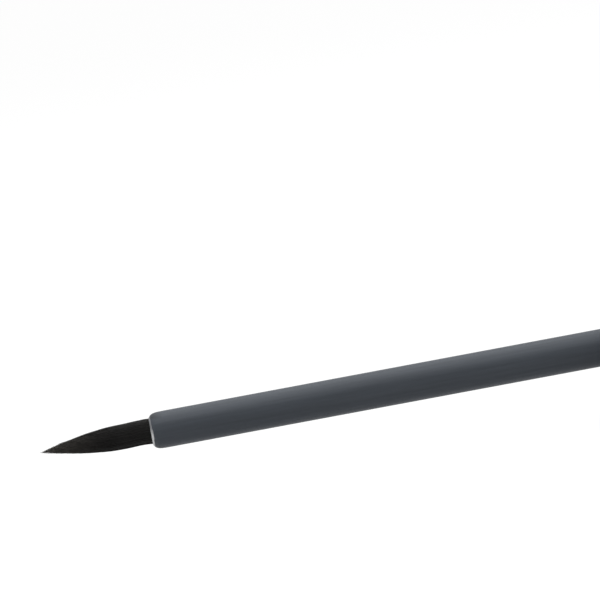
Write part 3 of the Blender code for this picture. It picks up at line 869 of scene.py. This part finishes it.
class EYELINER_OT_bottle(Undoable, Operator):
    """Makes the thick clear tube with its shoulder and its threaded neck"""

    bl_idname = "eyeliner.bottle"
    bl_label = "Clear Bottle"

    def execute(self, context):
        shape = context.scene.eyeliner_shape
        wall = turned(shape, [
            (bottle_start_x, body_radius, shape.small_edge),
            (shoulder_x, body_radius, shape.ring_edge),
            (shoulder_x, neck_radius, shape.fine_edge),
            (neck_top_x, neck_radius, shape.small_edge),
            (neck_top_x, neck_bore, shape.fine_edge),
            (bead_x + WIPER_BEAD_LENGTH / 2, neck_bore, 0),
            (bead_x, neck_bore + WIPER_BEAD, 0),
            (bead_x - WIPER_BEAD_LENGTH / 2, neck_bore, 0),
            (reservoir_top_x + reservoir_radius - neck_bore, neck_bore, shape.small_edge),
            (reservoir_top_x, reservoir_radius, shape.ring_edge),
            (bottle_start_x, reservoir_radius, shape.fine_edge),
        ])
        mesh = joined_with(wall, thread_ridge(shape, neck_radius, 1, neck_thread_x))
        finish = clear_plastic(context.scene.eyeliner_colours)
        add_mesh_piece("clear_bottle", mesh, finish, "bottle", "clear_plastic", "bottle")
        return {"FINISHED"}


class EYELINER_OT_rings(Undoable, Operator):
    """Makes the two metal rings, round the neck's foot and at the cap's mouth"""

    bl_idname = "eyeliner.rings"
    bl_label = "Metal Rings"

    def execute(self, context):
        shape = context.scene.eyeliner_shape
        metal = gunmetal(context.scene.eyeliner_colours)
        bore = neck_radius + FIT_GAP
        collar = turned(shape, [
            (collar_start_x, body_radius, shape.ring_edge),
            (collar_top_x, body_radius, shape.ring_edge),
            (collar_top_x, bore, shape.small_edge),
            (collar_start_x, bore, 0),
        ])
        add_piece("neck_collar", collar, metal, "bottle", "gunmetal", "shoulder_ring")
        lip_end_x = ring_start_x + RING_LIP
        trim = turned(shape, [
            (ring_start_x, body_radius, shape.ring_edge),
            (ring_end_x, body_radius, shape.ring_edge),
            (ring_end_x, shell_bore, 0),
            (lip_end_x, shell_bore, 0),
            (lip_end_x, cavity_radius, 0),
            (ring_start_x, cavity_radius, shape.small_edge),
        ])
        add_piece("cap_trim", trim, metal, "cap_ring", "gunmetal", "cap_ring")
        return {"FINISHED"}


class EYELINER_OT_wiper(Undoable, Operator):
    """Makes the soft sleeve in the neck, whose lip wipes the stem and the brush"""

    bl_idname = "eyeliner.wiper"
    bl_label = "Wiper"

    def execute(self, context):
        shape = context.scene.eyeliner_shape
        flange = neck_radius - WIPER_FLANGE_INSET
        cone_top_x = wiper_seat_x - WIPER_TUBE
        lip_top_x = cone_top_x - WIPER_CONE
        lip_outside = LIP_RADIUS + WIPER_WALL
        sleeve = turned(shape, [
            (wiper_seat_x, flange, shape.fine_edge),
            (wiper_top_x, flange, shape.small_edge),
            (wiper_top_x, wiper_mouth, shape.ring_edge),
            (cone_top_x, wiper_mouth, shape.ring_edge),
            (lip_top_x, LIP_RADIUS, shape.small_edge),
            (wiper_bottom_x, LIP_RADIUS, shape.fine_edge),
            (wiper_bottom_x, lip_outside, shape.small_edge),
            (lip_top_x, lip_outside, shape.small_edge),
            (cone_top_x, wiper_radius, shape.ring_edge),
            (bead_x - WIPER_BEAD_LENGTH / 2, wiper_radius, 0),
            (bead_x, wiper_radius + WIPER_BEAD, shape.fine_edge),
            (bead_x + WIPER_BEAD_LENGTH / 2, wiper_radius, 0),
            (wiper_seat_x, wiper_radius, 0),
        ])
        finish = natural_plastic(context.scene.eyeliner_colours)
        add_piece("wiper_sleeve", sleeve, finish, "bottle", "natural_plastic", "wiper")
        return {"FINISHED"}


class EYELINER_OT_liquid(Undoable, Operator):
    """Makes the black liquid, which lies level in the bottle and climbs a little at its wall"""

    bl_idname = "eyeliner.liquid"
    bl_label = "Liquid"

    def execute(self, context):
        shape = context.scene.eyeliner_shape
        radius = reservoir_radius + WETTING
        neck = neck_bore + WETTING
        end_x = span("liquid")[1]
        body = turned(shape, [
            (reservoir_floor_x, 0, 0),
            (reservoir_floor_x, radius, 0),
            (reservoir_top_x, radius, shape.ring_edge),
            (reservoir_top_x + radius - neck, neck, shape.small_edge),
            (end_x, neck, 0),
            (end_x, 0, 0),
        ])
        bmesh.ops.remove_doubles(body, verts=body.verts, dist=WELD)
        brim = axis_height - LEVEL_DROP + shape.meniscus
        bmesh.ops.bisect_plane(
            body,
            geom=body.verts[:] + body.edges[:] + body.faces[:],
            dist=WELD,
            plane_co=(0, 0, brim),
            plane_no=(0, 0, 1),
            clear_outer=True,
        )
        at_brim = [vert for vert in body.verts if vert.is_boundary]
        bmesh.ops.remove_doubles(body, verts=at_brim, dist=WETTING)
        rim = [edge for edge in body.edges if edge.is_boundary]
        surface = bmesh.ops.edgeloop_fill(body, edges=rim)["faces"]
        bmesh.ops.recalc_face_normals(body, faces=body.faces)
        heights = [math.exp(-MENISCUS_DECAY * step / MENISCUS_STEPS) for step in range(MENISCUS_STEPS)]
        for near, far in zip(heights, (*heights[1:], 0)):
            bmesh.ops.inset_region(
                body,
                faces=surface,
                thickness=shape.meniscus * MENISCUS_WIDTH / MENISCUS_STEPS,
                depth=-shape.meniscus * (near - far),
                use_even_offset=False,
            )
        add_piece("ink", body, black_ink(context.scene.eyeliner_colours), "bottle", "ink", "liquid")
        return {"FINISHED"}


class EYELINER_OT_mixing_ball(Undoable, Operator):
    """Makes the polished ball that stirs the liquid"""

    bl_idname = "eyeliner.mixing_ball"
    bl_label = "Mixing Ball"

    def execute(self, context):
        low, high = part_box("mixing_ball")
        middle = Matrix.Translation((low + high) / 2)
        bm = bmesh.new()
        bmesh.ops.create_icosphere(bm, subdivisions=5, radius=(high.x - low.x) / 2, matrix=middle)
        steel = polished_steel(context.scene.eyeliner_colours)
        add_piece("stirring_ball", bm, steel, "mixing_ball", "steel", "mixing_ball")
        return {"FINISHED"}


class EYELINER_OT_stem(Undoable, Operator):
    """Makes the slim stem with its rounded end, the bore for the brush and the head inside the cap"""

    bl_idname = "eyeliner.stem"
    bl_label = "Stem"

    def execute(self, context):
        shape = context.scene.eyeliner_shape
        head_start_x = stem_head_end_x - STEM_HEAD_HEIGHT
        bore = TUFT_RADIUS + FIT_GAP
        bore_end_x = stem_end_x + STEM_BORE_DEPTH
        rim_edge = shape.fine_edge / 3
        rest = math.exp(-shape.nose_length / shape.nose_decay)
        nose_steps = 3 * shape.edge_steps
        nose = []
        for step in range(nose_steps + 1):
            behind = shape.nose_length * (step / nose_steps) ** 2
            fade = math.exp(-behind / shape.nose_decay)
            radius = STEM_TIP_RADIUS - shape.nose_drop * (fade - rest) / (1 - rest)
            nose.append((stem_end_x + behind, radius, 0 if step else rim_edge))
        rod = turned(shape, [
            (bore_end_x, 0, 0),
            (bore_end_x, bore, 0),
            (stem_end_x, bore, rim_edge),
            *nose,
            (stem_end_x + 2 * shape.nose_length, STEM_TIP_RADIUS, 0),
            (head_start_x, STEM_ROOT_RADIUS, 0),
            (head_start_x, stem_head_radius, 0),
            (stem_head_end_x, stem_head_radius, shape.ring_edge),
            (stem_head_end_x, 0, 0),
        ])
        # The stem's finish carries painted shade on its nose and a painted highlight on its rim.
        finish = slate_plastic(context.scene.eyeliner_colours, painted_nose_shade_and_rim_highlight=True)
        add_piece("brush_stem", rod, finish, "applicator", "slate_plastic", "stem")
        return {"FINISHED"}


class EYELINER_OT_brush(Undoable, Operator):
    """Makes the pointed black brush, hair by hair, and the plate that anchors its root"""

    bl_idname = "eyeliner.brush"
    bl_label = "Brush"

    def execute(self, context):
        shape = context.scene.eyeliner_shape
        colours = context.scene.eyeliner_colours
        root_x = stem_end_x + TUFT_ROOT_DEPTH
        bm = turned(shape, [
            (root_x, 0, 0),
            (root_x, TUFT_RADIUS, shape.fine_edge),
            (root_x + TUFT_ROOT_LENGTH, TUFT_RADIUS, shape.fine_edge),
            (root_x + TUFT_ROOT_LENGTH, 0, 0),
        ])
        bmesh.ops.remove_doubles(bm, verts=bm.verts, dist=WELD)
        grow_hairs(bm, shape)
        hair = black_bristle(colours)
        add_piece("brush_hair", bm, hair, "applicator", "bristle", "tuft", smooth_below=math.pi)
        low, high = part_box("tuft_anchor")
        place = Matrix.Translation((low + high) / 2) @ Matrix.Diagonal((*(high - low), 1))
        plate = bmesh.new()
        bmesh.ops.create_cube(plate, size=1, matrix=place)
        round_off(plate, plate.edges[:], shape.fine_edge, shape, "EDGES")
        add_piece("anchor_plate", plate, polished_steel(colours), "applicator", "steel", "tuft_anchor")
        return {"FINISHED"}


class EYELINER_OT_inner_cap(Undoable, Operator):
    """Makes the threaded cap inside the sleeve, with the boss that holds the stem, and its soft washer"""

    bl_idname = "eyeliner.inner_cap"
    bl_label = "Inner Cap and Washer"

    def execute(self, context):
        shape = context.scene.eyeliner_shape
        colours = context.scene.eyeliner_colours
        shoulder = inner_cap_end_x - BOSS_HEIGHT
        wall = turned(shape, [
            (inner_cap_start_x, inner_cap_radius, shape.fine_edge),
            (shoulder, inner_cap_radius, shape.ring_edge),
            (shoulder, boss_radius, shape.small_edge),
            (inner_cap_end_x, boss_radius, shape.ring_edge),
            (inner_cap_end_x, STEM_HOLE_RADIUS, 0),
            (cavity_end_x, STEM_HOLE_RADIUS, 0),
            (cavity_end_x, cavity_radius, shape.fine_edge),
            (inner_cap_start_x, cavity_radius, shape.fine_edge),
        ])
        travel = frame["joints"][0]["range_m"][1]
        thread_x = neck_thread_x + travel - THREAD_PITCH / 2
        mesh = joined_with(wall, thread_ridge(shape, cavity_radius, -1, thread_x))
        plastic = black_plastic(colours)
        add_mesh_piece("screw_cap", mesh, plastic, "applicator", "black_plastic", "inner_cap")
        outer = cavity_radius - FIT_GAP
        washer = turned(shape, [
            (washer_start_x, outer, shape.small_edge),
            (washer_end_x, outer, shape.fine_edge),
            (washer_end_x, LIP_RADIUS, shape.fine_edge),
            (washer_start_x, LIP_RADIUS, shape.small_edge),
        ])
        add_piece("soft_washer", washer, white_foam(colours), "applicator", "foam", "seal_washer")
        return {"FINISHED"}


class EYELINER_OT_cap(Undoable, Operator):
    """Makes the long outer sleeve of the cap and the disc that closes it"""

    bl_idname = "eyeliner.cap"
    bl_label = "Cap Sleeve and End"

    def execute(self, context):
        shape = context.scene.eyeliner_shape
        finish = slate_plastic(context.scene.eyeliner_colours)
        sleeve = turned(shape, [
            (shell_start_x, body_radius, shape.small_edge),
            (shell_end_x, body_radius, shape.small_edge),
            (shell_end_x, shell_bore, shape.fine_edge),
            (shell_start_x, shell_bore, shape.fine_edge),
        ])
        add_piece("cap_sleeve", sleeve, finish, "applicator", "slate_plastic", "cap_shell")
        spigot = shell_bore - FIT_GAP
        hollow = spigot - END_SPIGOT_WALL
        disc = turned(shape, [
            (cap_end_start_x, 0, 0),
            (cap_end_start_x, hollow, shape.fine_edge),
            (end_spigot_x, hollow, shape.fine_edge),
            (end_spigot_x, spigot, shape.small_edge),
            (cap_end_start_x, spigot, 0),
            (cap_end_start_x, body_radius, shape.small_edge),
            (cap_top_x, body_radius, shape.body_edge),
            (cap_top_x, 0, 0),
        ])
        add_piece("cap_disc", disc, finish, "applicator", "slate_plastic", "cap_end")
        return {"FINISHED"}


def light_paths(tree, *kinds):
    """A value that is 1 for rays of the given kinds and 0 for all others."""
    path = add_node(tree, "ShaderNodeLightPath", {})
    total = path.outputs[kinds[0]]
    for kind in kinds[1:]:
        both = {0: total, 1: path.outputs[kind]}
        total = add_node(tree, "ShaderNodeMath", both, operation="MAXIMUM").outputs[0]
    return total


def finish_tree(tree, kind, share, first, second):
    """Ends a node tree in two shaders, the second of which is seen by the given share."""
    shaders = {0: share, 1: first.outputs[0], 2: second.outputs[0]}
    mix = add_node(tree, "ShaderNodeMixShader", shaders)
    add_node(tree, kind, {"Surface": mix.outputs[0]})


def add_floor(studio):
    """A wide pale floor that shows white and keeps a little of the object's shadow."""
    bm = bmesh.new()
    middle = Matrix.Translation((0, 0, cad_box[0].z - FIT_GAP / 5))
    bmesh.ops.create_circle(
        bm, cap_ends=True, segments=FLOOR_SIDES, radius=FLOOR_RADIUS, matrix=middle
    )
    floor = add_object("studio_floor", mesh_of(bm, "studio_floor"))
    material = bpy.data.materials.new("studio floor")
    material.use_nodes = True
    tree = material.node_tree
    tree.nodes.clear()
    plain = add_node(tree, "ShaderNodeBsdfDiffuse", {"Color": (*studio.floor, 1)})
    shaded = add_node(tree, "ShaderNodeBsdfDiffuse", {"Color": FLOOR_SHADE})
    white = add_node(tree, "ShaderNodeEmission", {"Color": WHITE, "Strength": FLOOR_WHITE})
    seen = add_node(tree, "ShaderNodeAddShader", {0: shaded.outputs[0], 1: white.outputs[0]})
    looked_at = light_paths(tree, "Is Camera Ray", "Is Glossy Ray", "Is Transmission Ray")
    finish_tree(tree, "ShaderNodeOutputMaterial", looked_at, plain, seen)
    floor.data.materials.append(material)


def add_surroundings(studio):
    """Soft light from all round, dimmer from the front, in front of a white background."""
    world = bpy.data.worlds.new("studio")
    bpy.context.scene.world = world
    world.use_nodes = True
    tree = world.node_tree
    tree.nodes.clear()
    direction = add_node(tree, "ShaderNodeTexCoord", {}).outputs["Generated"]
    depth = add_node(tree, "ShaderNodeSeparateXYZ", {0: direction}).outputs["Y"]
    front = add_node(tree, "ShaderNodeMapRange", {"Value": depth, **FRONT_DIMMING})
    levels = {"Value": light_paths(tree, "Is Glossy Ray"), "To Min": studio.world_level, "To Max": 1}
    dim = add_node(tree, "ShaderNodeMapRange", levels)
    both = {0: front.outputs[0], 1: dim.outputs[0]}
    strength = add_node(tree, "ShaderNodeMath", both, operation="MULTIPLY").outputs[0]
    soft = add_node(tree, "ShaderNodeBackground", {"Color": WHITE, "Strength": strength})
    white = add_node(tree, "ShaderNodeBackground", {"Color": WHITE})
    looked_at = light_paths(tree, "Is Camera Ray", "Is Transmission Ray")
    finish_tree(tree, "ShaderNodeOutputWorld", looked_at, soft, white)


def add_soft_light(name, place, width, depth, power, level=False):
    """A rectangular lamp that faces straight down, or else the middle of the object."""
    lamp = bpy.data.lights.new(name, "AREA")
    lamp.shape = "RECTANGLE"
    lamp.size = width
    lamp.size_y = depth
    lamp.energy = power
    obj = add_object(name, lamp)
    obj.location = place
    obj.visible_camera = False
    if not level:
        towards = Vector((0, 0, axis_height)) - Vector(place)
        obj.rotation_euler = towards.to_track_quat("-Z", "Y").to_euler()


def add_camera(studio):
    """The camera, set so that the stem's end, slope and thickness land where the photograph has them."""
    data = bpy.data.cameras.new("photo_camera")
    data.sensor_width = SENSOR_WIDTH
    data.lens = studio.lens
    data.clip_start = NEAREST_SEEN
    camera = add_object("photo_camera", data)
    azimuth, elevation = studio.azimuth, studio.elevation
    back = Vector((
        math.sin(azimuth) * math.cos(elevation),
        -math.cos(azimuth) * math.cos(elevation),
        math.sin(elevation),
    ))
    level = (-back).to_track_quat("-Z", "Y")
    right, up = level @ Vector((1, 0, 0)), level @ Vector((0, 1, 0))
    unrolled_slope = math.atan2(up.x, right.x)
    rolled = level @ Quaternion((0, 0, 1), unrolled_slope - STEM_SLOPE)
    right, up = rolled @ Vector((1, 0, 0)), rolled @ Vector((0, 1, 0))
    metre_per_px = 2 * STEM_TIP_RADIUS / STEM_THICKNESS_PX
    distance = PHOTO_SIZE * metre_per_px * studio.lens / SENSOR_WIDTH
    centre_from_end = (PHOTO_SIZE / 2 - STEM_END_PX[0], STEM_END_PX[1] - PHOTO_SIZE / 2)
    aim = Vector((stem_end_x, 0, axis_height))
    aim += (right * centre_from_end[0] + up * centre_from_end[1]) * metre_per_px
    camera.rotation_mode = "QUATERNION"
    camera.rotation_quaternion = rolled
    camera.location = aim + back * distance
    bpy.context.scene.camera = camera


class EYELINER_OT_studio(Undoable, Operator):
    """Sets the pale floor, the soft lights and the camera of the photograph"""

    bl_idname = "eyeliner.studio"
    bl_label = "Studio"

    def execute(self, context):
        studio = context.scene.eyeliner_studio
        add_floor(studio)
        add_surroundings(studio)
        overhead = {"place": (0.03, 0.01, 0.42), "width": 0.6, "depth": 0.7, "level": True}
        left = {"place": (-0.34, -0.2, 0.14), "width": 0.3, "depth": 0.2}
        add_soft_light("overhead_light", power=studio.key_power, **overhead)
        add_soft_light("left_light", power=studio.fill_power, **left)
        add_camera(studio)
        context.scene.view_settings.view_transform = "Standard"
        return {"FINISHED"}


PIECE_OPERATORS = (
    EYELINER_OT_foot,
    EYELINER_OT_bottle,
    EYELINER_OT_rings,
    EYELINER_OT_wiper,
    EYELINER_OT_liquid,
    EYELINER_OT_mixing_ball,
    EYELINER_OT_stem,
    EYELINER_OT_brush,
    EYELINER_OT_inner_cap,
    EYELINER_OT_cap,
    EYELINER_OT_studio,
)


class EYELINER_PT_panel(Panel):
    """Lists the pieces of the eyeliner and its studio"""

    bl_label = "Liquid Eyeliner"
    bl_space_type = "VIEW_3D"
    bl_region_type = "UI"
    bl_category = "Eyeliner"

    def draw(self, context):
        for operator in PIECE_OPERATORS:
            self.layout.operator(operator.bl_idname)


GROUPS = {
    "eyeliner_shape": EyelinerShape,
    "eyeliner_colours": EyelinerColours,
    "eyeliner_studio": EyelinerStudio,
}


def register():
    """Adds the classes and their settings to Blender."""
    for cls in (*GROUPS.values(), *PIECE_OPERATORS, EYELINER_PT_panel):
        bpy.utils.register_class(cls)
    for name, group in GROUPS.items():
        setattr(bpy.types.Scene, name, PointerProperty(type=group))


def unregister():
    """Takes them out again."""
    for name in GROUPS:
        delattr(bpy.types.Scene, name)
    for cls in reversed((*GROUPS.values(), *PIECE_OPERATORS, EYELINER_PT_panel)):
        bpy.utils.unregister_class(cls)


def main():
    """Makes every piece and the studio."""
    register()
    for operator in PIECE_OPERATORS:
        group, name = operator.bl_idname.split(".")
        getattr(getattr(bpy.ops, group), name)()


if __name__ == "__main__":
    main()
